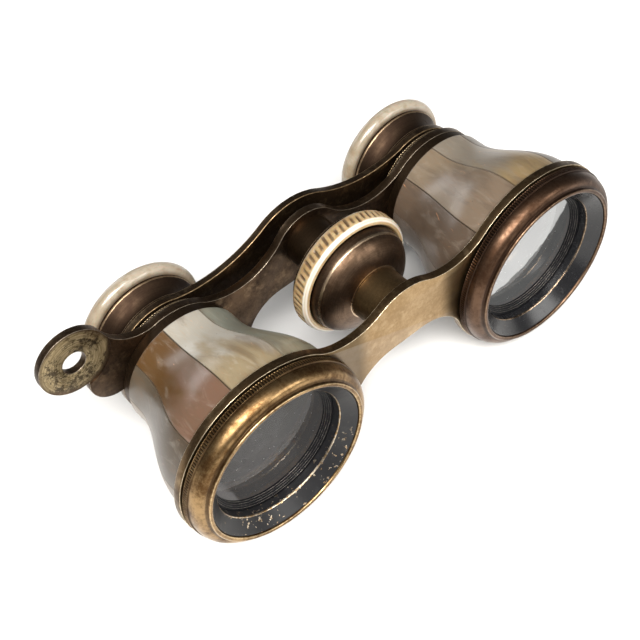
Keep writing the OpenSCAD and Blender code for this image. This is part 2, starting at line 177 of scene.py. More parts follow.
class Finish:
    # A material under construction: constants are set at once, wires are fed at the end
    def __init__(self, name, **sockets):
        self.material = bpy.data.materials.new(name)
        self.material.use_nodes = True
        self.tree = self.material.node_tree
        self.shader = self.tree.nodes["Principled BSDF"]
        for key, value in sockets.items():
            self.shader.inputs[key.replace("_", " ")].default_value = value

    def node(self, kind, settings={}, inputs={}, output=0):
        made = self.tree.nodes.new(kind)
        for key, value in settings.items():
            setattr(made, key, value)
        for key, value in inputs.items():
            if isinstance(value, Wire):
                self.tree.links.new(value.socket, made.inputs[key])
            elif isinstance(value, tuple) and made.inputs[key].type == "RGBA":
                made.inputs[key].default_value = (*value, 1)
            else:
                made.inputs[key].default_value = value
        return Wire(self, made.outputs[output])

    def feed(self, **wires):
        for key, value in wires.items():
            self.tree.links.new(value.socket, self.shader.inputs[key.replace("_", " ")])

    def own(self, name, output="Vector"):  # the piece's own attribute
        return self.node("ShaderNodeAttribute", {"attribute_name": name}, output=output)

    def place(self):  # object coordinates, in millimetres
        where = self.node("ShaderNodeTexCoord", output="Object")
        return self.node("ShaderNodeVectorMath", {"operation": "SCALE"}, {0: where, "Scale": 1 / mm})

    def parts(self, vector):
        split = self.tree.nodes.new("ShaderNodeSeparateXYZ")
        self.tree.links.new(vector.socket, split.inputs[0])
        return [Wire(self, s) for s in split.outputs]

    def join(self, x, y, z):
        return self.node("ShaderNodeCombineXYZ", {}, {0: x, 1: y, 2: z})

    def times(self, vector, factors):
        return self.node("ShaderNodeVectorMath", {"operation": "MULTIPLY"}, {0: vector, 1: factors})

    def noise(self, vector, scale, detail=4.0, roughness=0.55, distortion=0.0, output="Fac"):
        return self.node("ShaderNodeTexNoise", {}, {"Vector": vector, "Scale": scale, "Detail": detail,
                         "Roughness": roughness, "Distortion": distortion}, output)

    def cells(self, vector, scale, feature="F1", output="Distance"):
        return self.node("ShaderNodeTexVoronoi", {"feature": feature},
                         {"Vector": vector, "Scale": scale}, output)

    def blend(self, amount, low, high, mode="MIX"):
        made = self.tree.nodes.new("ShaderNodeMix")
        made.data_type, made.blend_type = "RGBA", mode
        for key, value in ((0, amount), (6, low), (7, high)):
            if isinstance(value, Wire):
                self.tree.links.new(value.socket, made.inputs[key])
            else:
                made.inputs[key].default_value = (*value, 1) if isinstance(value, tuple) else value
        return Wire(self, made.outputs[2])

    def bump(self, height, distance):
        return self.node("ShaderNodeBump", {}, {"Height": height, "Distance": distance * mm, "Strength": 1.0})


# ---------------------------------------------------------------- mesh helpers
weldGap = 0.002     # points nearer than this are one
crease = 35.0       # degrees between faces, from which a turned edge is sharp


class Seat:
    # Where a turned piece sits: its node, axis, two ends, length and outer radius, in millimetres
    def __init__(self, node):
        self.node = node
        low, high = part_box(node)
        self.x, self.z = (low.x + high.x) / 2 / mm, (low.z + high.z) / 2 / mm
        self.front, self.rear = low.y / mm, high.y / mm
        self.length = self.rear - self.front
        self.radius = (high.x - low.x) / 2 / mm


def softened(corners, arcSteps=6, finest=0.5, fade=0.22):
    # A closed outline whose corners are rounded. Each corner (r, s, rounding, wear) becomes the circle
    # arc that touches both its edges, as a rational quadratic curve; long edges are then cut evenly.
    # Wear at a point is the sum of the corners' wear, each fading with the square of the distance to
    # it; a corner with wear below 0 is darkened, by dirt and by painted shade.
    table = np.array([tuple(c) + (0,) * (4 - len(c)) for c in corners], float)
    points, rounding, wear = table[:, :2], table[:, 2:3], table[:, 3]
    before, after = np.roll(points, 1, 0) - points, np.roll(points, -1, 0) - points
    lengthBefore, lengthAfter = (np.linalg.norm(v, axis=1, keepdims=True) for v in (before, after))
    before, after = before / lengthBefore, after / lengthAfter
    half = np.arccos(np.clip((before * after).sum(1, keepdims=True), -0.99999, 0.99999)) / 2
    reach = np.minimum(rounding / np.tan(half), 0.48 * np.minimum(lengthBefore, lengthAfter))
    first, last = (points + before * reach)[:, None], (points + after * reach)[:, None]
    t = np.linspace(0, 1, arcSteps + 1)[None, :, None]
    pull = np.sin(half)[:, None]
    weights = ((1 - t) ** 2, 2 * pull * t * (1 - t), t ** 2)
    line = (weights[0] * first + weights[1] * points[:, None] + weights[2] * last) / sum(weights)
    line = line.reshape(-1, 2)
    line = line[np.linalg.norm(line - np.roll(line, 1, 0), axis=1) > 1e-4]
    step = np.roll(line, -1, 0) - line
    pieces = np.ceil(np.linalg.norm(step, axis=1) / finest).astype(int)
    share = np.concatenate([np.arange(n) / n for n in pieces])
    line = np.repeat(line, pieces, 0) + np.repeat(step, pieces, 0) * share[:, None]
    away = np.linalg.norm(line[:, None] - points[None], axis=2)
    return line, np.clip((wear * np.exp(-(away / fade) ** 2)).sum(1), -1.2, 1.2)


def bow(centre, radii, start, end, steps):
    # Points of an ellipse arc about a centre: r = cr + a sin t, s = cs - b cos t
    t = np.radians(np.linspace(start, end, steps + 1))
    return [(centre[0] + radii[0] * a, centre[1] - radii[1] * b, 0) for a, b in zip(np.sin(t), np.cos(t))]


def meshPiece(name, points, faces, body, replaced, finishes):
    # A smooth-shaded piece from points in millimetres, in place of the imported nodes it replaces
    mesh = bpy.data.meshes.new(name)
    mesh.from_pydata((points * mm).tolist(), [], faces.tolist() if hasattr(faces, "tolist") else faces)
    mesh.polygons.foreach_set("use_smooth", np.full(len(mesh.polygons), True))
    for finish in finishes:
        mesh.materials.append(finish)
    piece = bpy.data.objects.new(name, mesh)
    link(piece)
    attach(piece, body)
    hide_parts(*replaced)
    return piece


def giveValues(piece, name, values):
    # values: one number, or one vector, for each point of the mesh
    kind = "FLOAT" if values.ndim == 1 else "FLOAT_VECTOR"
    layer = piece.data.attributes.new(name, kind, "POINT")
    flat = np.ascontiguousarray(values, np.float32).ravel()
    layer.data.foreach_set("value" if values.ndim == 1 else "vector", flat)


def gridFaces(rows, columns, closedRows):
    # Quads of a grid of points, joined round its columns and, if asked, round its rows
    i = np.arange(rows if closedRows else rows - 1)[:, None]
    j = np.arange(columns)[None]
    down, across = (i + 1) % rows, (j + 1) % columns
    corners = [i * columns + j, down * columns + j, down * columns + across, i * columns + across]
    return np.stack([c + 0 * (i + j) for c in corners], -1).reshape(-1, 4)


def turned(name, corners, seat, body, finish, around=192, ripple=None,
           arcSteps=6, finest=0.5, fade=0.22):
    # A closed outline (r, s) turned about the seat's axis: x = cx + R cos a, z = cz + R sin a,
    # y = front + s, where R = r + ripple(r, s, a)
    outline, wear = softened(corners, arcSteps, finest, fade)
    r, s = outline[:, :1], outline[:, 1:]
    a = np.linspace(0, fullTurn, around, endpoint=False)[None]
    radius = r + (ripple(r, s, a) if ripple else 0 * a)
    x, z, y = radius * np.cos(a), radius * np.sin(a), s + 0 * a
    points = np.stack([seat.x + x, seat.front + y, seat.z + z], -1).reshape(-1, 3)
    faces = gridFaces(len(outline), around, True)
    ahead = np.roll(outline, -1, 0)
    inwards = (outline[:, 0] * ahead[:, 1] - ahead[:, 0] * outline[:, 1]).sum() < 0
    if inwards:
        faces = faces[:, ::-1]
    piece = meshPiece(name, points, faces, body, [seat.node], [finish])
    giveValues(piece, "lathe", np.stack([x, y, z], -1).reshape(-1, 3))
    giveValues(piece, "wear", np.repeat(wear, around))
    if ripple:  # how deep each point lies in a cut, against the deepest
        giveValues(piece, "groove", ((r - radius) / max(1e-6, (r - radius).max())).ravel())
    if (outline[:, 0] < 1e-4).any():  # poles: a ring of points at the axis becomes one
        weldPiece(piece.data)
    piece.data.set_sharp_from_angle(angle=math.radians(crease))
    return piece


def weldPiece(mesh):
    # Joins points that lie within the weld gap, so that a pole is a single point
    work = bmesh.new()
    work.from_mesh(mesh)
    bmesh.ops.remove_doubles(work, verts=work.verts, dist=weldGap * mm)
    work.to_mesh(mesh)
    work.free()


# ---------------------------------------------------------------- metal finishes
usualMetal = dict(cloudScale=0.16, wornAmount=0.8, rings=9.0, markTint=0.35, markDepth=0.5, relief=0.012,
                  sootAmount=0.55, sootRange=(0.60, 0.72), brush=(0.6, 3.0, 14.0), patches=0.4)


def agedMetal(name, own, flat=False):
    # Colour = dark to mid by cloudy tarnish, then bright where worn, soot in patches, and darkened where wear
    # is below 0 (dirt and painted shade) and in the cuts of knurls and threads (painted shade); fine turning
    # or brush marks, pits and hairline scratches give the relief. own holds the piece's colours and what it
    # changes of usualMetal.
    look = {**usualMetal, **own}
    finish = Finish(name, Metallic=1.0, Roughness=0.35)
    spot = finish.place() if flat else finish.own("lathe")
    x, y, z = finish.parts(spot)
    cloud = finish.noise(spot, look["cloudScale"], 7, 0.62, 0.6)
    grain = finish.noise(spot, 1.7, 5, 0.7)
    tarnish = (cloud * 0.7 + grain * 0.3).above(0.38, 0.62)
    colour = finish.blend(tarnish, look["dark"], look["mid"])
    if flat:
        worn = finish.noise(spot, 0.5, 6, 0.6).above(0.5, 0.72) * look["patches"]
        grime = 0
        marks = finish.noise(finish.times(spot, look["brush"]), 1.0, 3, 0.6)
    else:
        edge = finish.own("wear", "Fac")
        worn = (edge + (grain - 0.5) * 0.9 * edge.above(0.02, 0.4)).above(0.25, 0.75)
        # darker where wear is below 0 (dirt and painted shade) and in knurl and thread cuts (painted shade)
        grime = (0 - edge).above(0.05, 0.6).most(finish.own("groove", "Fac").above(0.25, 0.75) * 0.95)
        across = (x * x + z * z) ** 0.5
        turning = finish.join(across * look["rings"], y * look["rings"], cloud * 3.0)
        marks = finish.noise(turning, 1.0, 3, 0.65)
    colour = finish.blend(worn * look["wornAmount"], colour, look["bright"])
    soot = finish.noise(spot, 0.55, 8, 0.7, 0.4).above(*look["sootRange"])
    colour = finish.blend((soot * look["sootAmount"]).most(grime), colour, look["soot"])
    colour = finish.blend((marks - 0.5).most(0.0) * look["markTint"], colour, look["bright"])
    if "inner" in look:  # a tube is blacked on its inside
        inside = 1 - across.above(look["inner"], look["inner"] + 0.1)
        colour = finish.blend(inside, colour, (0.006, 0.005, 0.005))
    if "ends" in look:  # the plate darkens away from its middle, towards the rings
        centre, start, full, tint = look["ends"]
        away = finish.node("ShaderNodeMath", {"operation": "ABSOLUTE"}, {0: x - centre})
        away = away + (cloud - 0.5) * 3.0
        colour = finish.blend(away.above(start, full) * 0.85, colour, tint)
    if "lug" in look:
        bare, circles, rubbed = rubbedLug(finish, look, x, z, cloud, grain)
        colour = finish.blend(bare * 0.92, colour, rubbed)
        marks = marks + circles * bare * 0.9
    low, high = look["rough"]
    rough = low + (high - low) * (1 - tarnish) + (grain - 0.5) * 0.12 + soot * 0.16 - worn * 0.08
    pits = finish.cells(spot, 2.6).above(0.0, 0.13)
    relief = marks * look["markDepth"] + grain * 0.55 + pits * 0.25 - scratchLines(finish, spot) * 0.4
    finish.feed(Base_Color=colour, Roughness=rough.least(0.85).most(0.12),
                Normal=finish.bump(relief, look["relief"]))
    return finish.material


def rubbedLug(finish, look, x, z, cloud, grain):
    # Bare brass rubbed by a washer, in turning marks round the lug's hole, with soot in patches:
    # bare = 1 within the mark's radius, its edge made ragged by the cloud
    lug = look["lug"]
    across, up = x - lug["x"], z - lug["z"]
    reach = (across * across + up * up) ** 0.5
    circles = finish.noise(finish.join(reach * 4.2, across * 0.22, up * 0.22), 1.0, 4, 0.7)
    bare = 1 - (reach + (cloud - 0.5) * 2.2).above(lug["radius"] - 0.9, lug["radius"] + 0.15)
    rubbed = finish.blend(circles.above(0.30, 0.75), lug["dark"], lug["bright"])
    rubbed = finish.blend((grain * 0.45 + cloud * 0.55).above(0.47, 0.56) * 0.85, rubbed, look["soot"])
    return bare, circles, rubbed


def scratchLines(finish, spot):
    # Hairlines: thin edges of long cells, turned a little by noise, kept in patches
    bend = finish.noise(spot, 0.12, 2, output="Color")
    bent = finish.node("ShaderNodeVectorMath", {"operation": "MULTIPLY_ADD"},
                       {0: bend, 1: (5.0, 5.0, 5.0), 2: finish.times(spot, (1.3, 0.35, 0.5))})
    lines = 1 - finish.cells(bent, 0.9, "DISTANCE_TO_EDGE").above(0.0, 0.012)
    return lines * finish.noise(spot, 0.3, 3).above(0.5, 0.7)


metals = {
    "bezelGold": dict(dark=(0.080, 0.040, 0.014), mid=(0.320, 0.208, 0.098), bright=(0.66, 0.50, 0.29),
                      soot=(0.036, 0.021, 0.011), rough=(0.28, 0.42), wornAmount=0.75, rings=7.0,
                      markTint=0.3),
    "bezelCopper": dict(dark=(0.045, 0.023, 0.013), mid=(0.112, 0.066, 0.042), bright=(0.42, 0.30, 0.20),
                        soot=(0.022, 0.013, 0.009), rough=(0.32, 0.46), wornAmount=0.5, rings=7.0,
                        markTint=0.2),
    "hubBronze": dict(dark=(0.060, 0.037, 0.023), mid=(0.130, 0.083, 0.053), bright=(0.50, 0.38, 0.26),
                      soot=(0.024, 0.015, 0.010), rough=(0.33, 0.46), rings=5.0, markDepth=0.9),
    "columnBronze": dict(dark=(0.095, 0.060, 0.028), mid=(0.215, 0.140, 0.066), bright=(0.42, 0.31, 0.17),
                         soot=(0.022, 0.014, 0.008), rough=(0.36, 0.5), rings=4.0),
    "bellBronze": dict(dark=(0.030, 0.018, 0.012), mid=(0.043, 0.027, 0.017), bright=(0.38, 0.27, 0.17),
                       soot=(0.020, 0.012, 0.008), rough=(0.44, 0.58), rings=5.0, markTint=0.18),
    "glandBrass": dict(dark=(0.075, 0.047, 0.025), mid=(0.19, 0.125, 0.066), bright=(0.58, 0.44, 0.27),
                       soot=(0.020, 0.013, 0.008), rough=(0.34, 0.5)),
    "drawBrass": dict(dark=(0.42, 0.27, 0.10), mid=(0.66, 0.47, 0.21), bright=(0.92, 0.74, 0.42),
                      soot=(0.16, 0.09, 0.04), rough=(0.24, 0.36), rings=11.0, relief=0.005, inner=7.6),
    "screwBrass": dict(dark=(0.30, 0.19, 0.075), mid=(0.50, 0.35, 0.155), bright=(0.85, 0.68, 0.38),
                       soot=(0.12, 0.07, 0.03), rough=(0.26, 0.40), rings=11.0, relief=0.005),
    "darkBrass": dict(dark=(0.022, 0.014, 0.008), mid=(0.055, 0.034, 0.019), bright=(0.30, 0.21, 0.12),
                      soot=(0.014, 0.009, 0.006), rough=(0.42, 0.6)),
}
metal = {name: agedMetal(name, look) for name, look in metals.items()}

lugLow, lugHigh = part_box("rear_bridge")
lugReach = 6.6      # the lug is the rear bridge's outermost and highest part
lug = {"x": lugLow.x / mm + lugReach, "z": lugHigh.z / mm - lugReach, "radius": 6.5,
       "dark": (0.190, 0.140, 0.068), "bright": (0.52, 0.42, 0.25)}
pairCentre = Seat("wheel_hub").x
plates = {
    "frontPlate": dict(dark=(0.260, 0.168, 0.078), mid=(0.395, 0.278, 0.152), bright=(0.68, 0.53, 0.33),
                       soot=(0.085, 0.054, 0.027), rough=(0.33, 0.42), brush=(7.0, 2.0, 1.0), sootAmount=0.4,
                       sootRange=(0.60, 0.78), markTint=0.25, cloudScale=0.09, patches=0.25, relief=0.005,
                       ends=(pairCentre, 7.4, 11.4, (0.088, 0.058, 0.026))),
    "rearPlate": dict(dark=(0.034, 0.021, 0.013), mid=(0.095, 0.060, 0.036), bright=(0.32, 0.22, 0.13),
                      soot=(0.015, 0.010, 0.007), rough=(0.34, 0.5), brush=(6.0, 1.0, 2.0), lug=lug),
    "eyepiecePlate": dict(dark=(0.034, 0.020, 0.011), mid=(0.085, 0.052, 0.029), bright=(0.34, 0.23, 0.12),
                          soot=(0.015, 0.010, 0.007), rough=(0.34, 0.5), brush=(6.0, 1.0, 2.0)),
    "frontWall": dict(dark=(0.060, 0.037, 0.018), mid=(0.150, 0.096, 0.048), bright=(0.46, 0.34, 0.20),
                      soot=(0.026, 0.017, 0.010), rough=(0.34, 0.46), brush=(1.0, 6.0, 1.0), patches=0.35),
    "darkWall": dict(dark=(0.036, 0.023, 0.014), mid=(0.100, 0.064, 0.038), bright=(0.34, 0.25, 0.15),
                     soot=(0.016, 0.010, 0.007), rough=(0.34, 0.48), brush=(1.0, 6.0, 1.0), patches=0.35),
}
plate = {name: agedMetal(name, look, flat=True) for name, look in plates.items()}
print("metal finishes mixed")


def rubbedEdge(name, colour, rough):
    # The rubbed arris of a plate: bright metal broken up by nicks of the same colour, darkened
    finish = Finish(name, Metallic=1.0)
    spot = finish.place()
    nicks = finish.noise(spot, 1.1, 6, 0.7).above(0.42, 0.66)
    tint = finish.blend(nicks, tuple(c * 0.42 for c in colour), colour)
    finish.feed(Base_Color=tint, Roughness=rough + (1 - nicks) * 0.2,
                Normal=finish.bump(finish.noise(spot, 3.0, 4), 0.012))
    return finish.material


# ---------------------------------------------------------------- pearl
cladding = Values(
    front=17.45,   # inner radius in front of the flare
    waist=12.15,   # and behind it
    flareFront=2.85,
    flareRear=19.75,
    thickness=1.0,
    length=22.0,
    count=10,
    seam=0.105,
    firstSeam={"right": 102.2, "left": 97.2},  # degrees from +X towards +Z
    lift=0.035,    # how much one stave may stand above or below the next
    endDrop=0.16,  # how far the outside falls at the two ends
    bandThickness=0.5,
)


def nacre(name, look):
    # Cloudy layers: a warped noise drawn out along the stave shifts between the stave's two tints,
    # a second one adds pale veils and thin growth lines, and painted glints, specks of fire, sit in patches.
    finish = Finish(name, Coat_Weight=0.22, Coat_Roughness=0.20, Specular_IOR_Level=0.36,
                    Subsurface_Weight=0.12, Subsurface_Scale=0.0012)
    finish.shader.inputs["Subsurface Radius"].default_value = (1.0, 0.8, 0.6)
    spot = finish.own("figure")
    tintA, tintB = finish.own("tintA", "Color"), finish.own("tintB", "Color")
    drift = finish.noise(finish.times(spot, (0.12, 0.05, 1.0)), 1.0, 3, 0.5, 1.4)
    veilAndGlow = finish.noise(finish.times(spot, (0.30, 0.11, 1.0)), 1.0, 6, 0.6, 2.2)
    along = finish.parts(spot)[1]
    change = drift + (0.5 - along / cladding.length) * 0.55
    colour = finish.blend(change.above(0.36, 0.64), tintA, tintB)
    colour = finish.blend(veilAndGlow.above(0.50, 0.74) * look["veilAndGlow"], colour, look["pale"])
    shade = finish.noise(finish.times(spot, (0.22, 0.07, 1.0)), 1.3, 5, 0.6, 1.0)
    colour = finish.blend((1 - shade.above(0.30, 0.52)) * look["shade"], colour, look["deep"])
    ripple = finish.noise(finish.times(spot, (1.5, 0.20, 1.0)), 1.0, 5, 0.65, 2.8)
    colour = finish.blend((ripple - 0.5).most(0.0) * 1.1, colour, look["fire"], "SOFT_LIGHT")
    # painted glints: specks of fire colour laid into the base colour
    glint = finish.noise(finish.times(spot, (0.55, 0.22, 1.0)), 1.0, 3, 0.5, 1.8).above(0.68, 0.80)
    colour = finish.blend(glint * look["glint"], colour, look["fire"])
    rim = finish.own("wear", "Fac")
    colour = finish.blend(rim.above(0.15, 0.9) * 0.75, colour, look["seam"])
    speck = 1 - finish.cells(spot, 0.42).above(0.03, 0.085)
    colour = finish.blend(speck * 0.45, colour, look["deep"])
    relief = ripple * 0.5 + finish.noise(spot, 1.2, 4) * 0.3
    finish.feed(Base_Color=colour, Roughness=0.28 + veilAndGlow * 0.16 + rim * 0.2,
                Normal=finish.bump(relief, 0.02))
    return finish.material


pearls = {
    "pearlRight": dict(pale=(0.56, 0.53, 0.47), deep=(0.10, 0.065, 0.038), fire=(0.66, 0.34, 0.17),
                       seam=(0.070, 0.046, 0.028), veilAndGlow=0.15, shade=0.5, glint=0.35),
    "pearlLeft": dict(pale=(0.34, 0.30, 0.25), deep=(0.065, 0.046, 0.033), fire=(0.70, 0.33, 0.15),
                      seam=(0.050, 0.033, 0.021), veilAndGlow=0.20, shade=0.45, glint=0.6),
}
pearl = {name: nacre(name, look) for name, look in pearls.items()}


def shellRing(name, look):
    # Turned pearl ring: cloudy cream over tan, paler on worn crests, darkened in hollows, cuts and seams by a
    # painted darkening, painted shade in the wheel's seam
    finish = Finish(name, Roughness=0.3, Coat_Weight=0.3, Coat_Roughness=0.1, Subsurface_Weight=0.15,
                    Subsurface_Scale=0.001)
    spot = finish.own("lathe")
    cloud = finish.noise(spot, 0.13, 5, 0.6, 1.5)
    colour = finish.blend(cloud.above(0.36, 0.62), look["cream"], look["tan"])
    streak = finish.noise(finish.times(spot, (0.5, 2.2, 0.5)), 0.6, 5, 0.65, 1.2)
    colour = finish.blend(streak.above(0.48, 0.72) * 0.5, colour, look["shade"])
    edge = finish.own("wear", "Fac")
    colour = finish.blend(edge.above(0.1, 0.8) * 0.8, colour, look["pale"])
    darkening = finish.own("darkening", "Fac")
    colour = finish.blend(darkening, colour, look["darkening"])
    finish.feed(Base_Color=colour, Roughness=0.22 + cloud * 0.16 + darkening * 0.35,
                Normal=finish.bump(streak * 0.5 + finish.noise(spot, 1.6, 4) * 0.4, 0.015))
    return finish.material


shells = {
    "wheelShell": dict(cream=(0.40, 0.29, 0.155), tan=(0.30, 0.195, 0.085), shade=(0.20, 0.12, 0.05),
                       pale=(0.66, 0.63, 0.56), darkening=(0.070, 0.038, 0.014)),
    "eyeShell": dict(cream=(0.325, 0.282, 0.220), tan=(0.235, 0.185, 0.122), shade=(0.165, 0.120, 0.074),
                     pale=(0.56, 0.52, 0.45), darkening=(0.07, 0.042, 0.02)),
}
shell = {name: shellRing(name, look) for name, look in shells.items()}


# ---------------------------------------------------------------- lacquer, glass, cork
def chippedLacquer(name, look):
    # Black lacquer that has chipped to brass: along worn edges, and in specks low on the hood
    finish = Finish(name, Specular_IOR_Level=look["shine"])
    spot = finish.own("lathe")
    z = finish.parts(spot)[2]
    edge = finish.own("wear", "Fac")
    rag = finish.noise(spot, 1.5, 6, 0.75)
    chips = (edge + (rag - 0.5) * 1.1).above(0.62, 0.72)
    specks = finish.noise(spot, 1.15, 3, 0.6).above(look["speckAt"], look["speckAt"] + 0.03)
    low = (0 - z).above(2.0, 11.0)
    bare = chips.most(specks * low)
    dust = finish.noise(spot, 0.5, 7, 0.75).above(0.5, 0.85)
    black = finish.blend(dust * 0.5, look["black"], look["dusty"])
    brass = finish.blend(finish.noise(spot, 2.0, 3).above(0.35, 0.65), look["brassDark"], look["brass"])
    finish.feed(Base_Color=finish.blend(bare, black, brass), Metallic=bare,
                Roughness=look["rough"] + dust * 0.22 - bare * 0.05,
                Normal=finish.bump((1 - bare) * 0.6 + finish.noise(spot, 1.9, 5) * 0.35, 0.02))
    return finish.material


lacquers = {
    "hoodRight": dict(black=(0.010, 0.010, 0.011), dusty=(0.045, 0.045, 0.047), brass=(0.60, 0.52, 0.41),
                      brassDark=(0.30, 0.19, 0.09), rough=0.34, speckAt=0.62, shine=0.28),
    "hoodLeft": dict(black=(0.007, 0.007, 0.008), dusty=(0.030, 0.030, 0.032), brass=(0.34, 0.26, 0.19),
                     brassDark=(0.15, 0.105, 0.065), rough=0.25, speckAt=0.72, shine=0.45),
    "ringLacquer": dict(black=(0.006, 0.006, 0.007), dusty=(0.020, 0.020, 0.021), brass=(0.30, 0.28, 0.25),
                        brassDark=(0.10, 0.09, 0.08), rough=0.42, speckAt=0.9, shine=0.12),
}
lacquer = {name: chippedLacquer(name, look) for name, look in lacquers.items()}


def oldGlass(name, look):
    # Clear glass with dust specks and a painted glow given off as emission: a faint painted reflection,
    # stronger low down, a brighter painted crescent of reflected light on one side, and dust specks that glow
    # a little. The objectives hardly bend light, as the gap behind the crown would otherwise mirror the room;
    # their shine is a coat.
    finish = Finish(name, IOR=look["index"], Transmission_Weight=1.0, Coat_Weight=look["shine"],
                    Coat_Roughness=0.02, Emission_Strength=1.0)
    spot = finish.own("lathe")
    x, z = finish.parts(spot)[::2]
    fleck = 1 - finish.cells(spot, 0.85).above(0.05, 0.11)
    keep = finish.noise(spot, 0.35, 4).above(0.48, 0.62)
    dust = (fleck * keep).most(finish.noise(spot, 3.2, 2).above(0.74, 0.78) * 0.7)
    tint = finish.blend(dust * 0.8, look["tint"], (0.75, 0.74, 0.70))
    finish.feed(Base_Color=tint, Roughness=0.015 + dust * 0.5)
    # A painted crescent of reflected light on one side of a slightly bowed line across the glass: with t = x
    # aside + z up, the crescent comes in where t - bend * (distance along the line)^2 passes from start to
    # full
    start, full, aside, up, bend = look["crescentLine"]
    along = x * up - z * aside
    side = x * aside + z * up - along * along * bend
    crescentGlow = (side + (keep - 0.5) * 0.3).above(start, full) * look["crescentGlow"]
    # painted reflection as an even faint glow, stronger lower down
    veilAndGlow = (finish.noise(spot, 0.11, 3) * 0.7 + 0.65 - z * 0.018) * look["veilAndGlow"]
    # the painted crescent, the even glow and the dust specks are given off as emission, though the glass is
    # no lamp
    finish.feed(Emission_Color=finish.blend(crescentGlow + veilAndGlow + dust * 0.10, (0.0, 0.0, 0.0), look["glowColour"]))
    return finish.material


glasses = {
    "objectiveRight": dict(tint=(0.62, 0.62, 0.62), index=1.02, shine=0.40,
                           crescentLine=(10.0, 10.6, -0.90, -0.43, 0.02),
                           crescentGlow=0.06, veilAndGlow=0.030, glowColour=(0.96, 0.91, 0.88)),
    "objectiveLeft": dict(tint=(0.62, 0.63, 0.64), index=1.02, shine=0.70,
                          crescentLine=(-2.3, -1.7, -0.43, 0.90, 0.013),
                          crescentGlow=0.50, veilAndGlow=0.050, glowColour=(0.96, 0.96, 0.94)),
    "cementedGlass": dict(tint=(0.60, 0.60, 0.59), index=1.02, shine=0.0, crescentLine=(15.0, 20.0, 1.0, 0.0, 0.0),
                          crescentGlow=0.0, veilAndGlow=0.0, glowColour=(0.6, 0.6, 0.6)),
    "eyeGlass": dict(tint=(0.80, 0.81, 0.82), index=1.5, shine=0.0, crescentLine=(4.0, 7.5, 0.6, 0.8, 0.0),
                     crescentGlow=0.03, veilAndGlow=0.02, glowColour=(0.62, 0.62, 0.60)),
}
glass = {name: oldGlass(name, look) for name, look in glasses.items()}


def blackedInside(name):
    # Sooty matt paint inside the tubes, rubbed through to brown here and there
    finish = Finish(name, Roughness=0.75)
    spot = finish.place()
    rub = finish.noise(spot, 0.4, 6, 0.7).above(0.58, 0.75)
    finish.feed(Base_Color=finish.blend(rub, (0.012, 0.011, 0.010), (0.05, 0.034, 0.022)),
                Roughness=0.55 + rub * 0.2, Normal=finish.bump(finish.noise(spot, 2.0, 4), 0.02))
    return finish.material


def corkLining(name):
    # Pale and dark brown by noise, darkened grain by grain with the colour of small cells
    finish = Finish(name, Roughness=0.85)
    spot = finish.place()
    cork = finish.cells(spot, 1.6, output="Color")
    colour = finish.blend(finish.noise(spot, 1.3, 5).above(0.3, 0.7), (0.20, 0.11, 0.05), (0.42, 0.27, 0.15))
    finish.feed(Base_Color=finish.blend(0.25, colour, cork, "MULTIPLY"),
                Normal=finish.bump(finish.cells(spot, 1.6), 0.05))
    return finish.material


insideBlack, cork = blackedInside("insideBlack"), corkLining("cork")
print("pearl, lacquer and glass mixed")

# ---------------------------------------------------------------- objectives
soft = 0.05         # rounding of a plain turned corner
knurlEase = 0.12    # length over which a knurl grows to full depth
bezel = Values(
    lip=15.9,            # radius of the lip's crest
    lipWidth=0.8,
    lipFoot=0.62,        # how far the lip's outside runs back to the groove
    shoulderFoot=16.62,  # where the shoulder starts, beside that groove
    shoulderStart=0.8,
    shoulderEnd=3.2,
    shoulderDrop=0.25,   # how far inside the rim the shoulder ends
    rim=18.5,
    rimFront=3.3,
    rimRear=4.5,
    rimBevel=0.16,
    sleeve=15.75,
    sleeveTaper=0.4,
    taperLength=2.2,
    bore=14.05,
    boreStart=3.6,
    stopHeight=1.3,      # the ledge behind the glass
    stopWidth=0.5,
    # how dark the groove behind the lip is painted: dirt and painted shade
    grime=-0.35,
    teeth=220,
    toothDepth=0.17,
)


def knurl(teeth, depth, front, rear):
    # ripple = -depth ((1 - cos(n a)) / 2)^1.5, which leaves broad crests, eased in at front and rear
    def ripple(r, s, a):
        band = np.clip((s - front) / knurlEase, 0, 1) * np.clip((rear - s) / knurlEase, 0, 1)
        return -depth * band * ((1 - np.cos(teeth * a)) / 2) ** 1.5
    return ripple


def makeBezel(side, finish):
    # Round lip, groove darkened by dirt and painted shade, quarter-ellipse shoulder, knurled rim and tapered
    # sleeve
    seat = Seat("objective_cell_" + side)
    b = bezel
    half, rim, front, rear = b.lipWidth / 2, b.rim, b.rimFront, b.rimRear
    inside, outside = b.lip - half, b.lip + half
    reach = (rim - b.shoulderDrop - b.shoulderFoot, b.shoulderEnd - b.shoulderStart)
    end, ledge = seat.length, b.bore - b.stopHeight
    corners = [(inside, 0, half, 1.0), (outside, 0, half, 0.8), (outside, b.lipFoot, soft, b.grime),
               (b.shoulderFoot - 0.06, b.shoulderStart - 0.02, soft, b.grime)]
    corners += bow((b.shoulderFoot, b.shoulderEnd), reach, 6, 90, 14)
    # the corner in front of the rim is darkened: dirt and painted shade
    corners += [(rim - b.rimBevel, front - 0.04, soft, -0.5), (rim, front + 0.02, 0.04),
                (rim, front + 0.16, 0), (rim, rear - 0.24, 0), (rim, rear - 0.1, soft),
                (rim - 0.2, rear, 0.04), (b.sleeve, rear, soft), (b.sleeve, end - b.taperLength, 0),
                (b.sleeve - b.sleeveTaper, end, 0.1), (ledge, end, 0.1),
                (ledge, end - b.stopWidth, soft), (b.bore, end - b.stopWidth, soft),
                (b.bore, b.boreStart, soft), (inside, b.boreStart, soft)]
    turned("bezel_" + side, corners, seat, "barrels", finish, around=6 * b.teeth,
           ripple=knurl(b.teeth, b.toothDepth, front, rear - 0.06), arcSteps=5, finest=1.2)


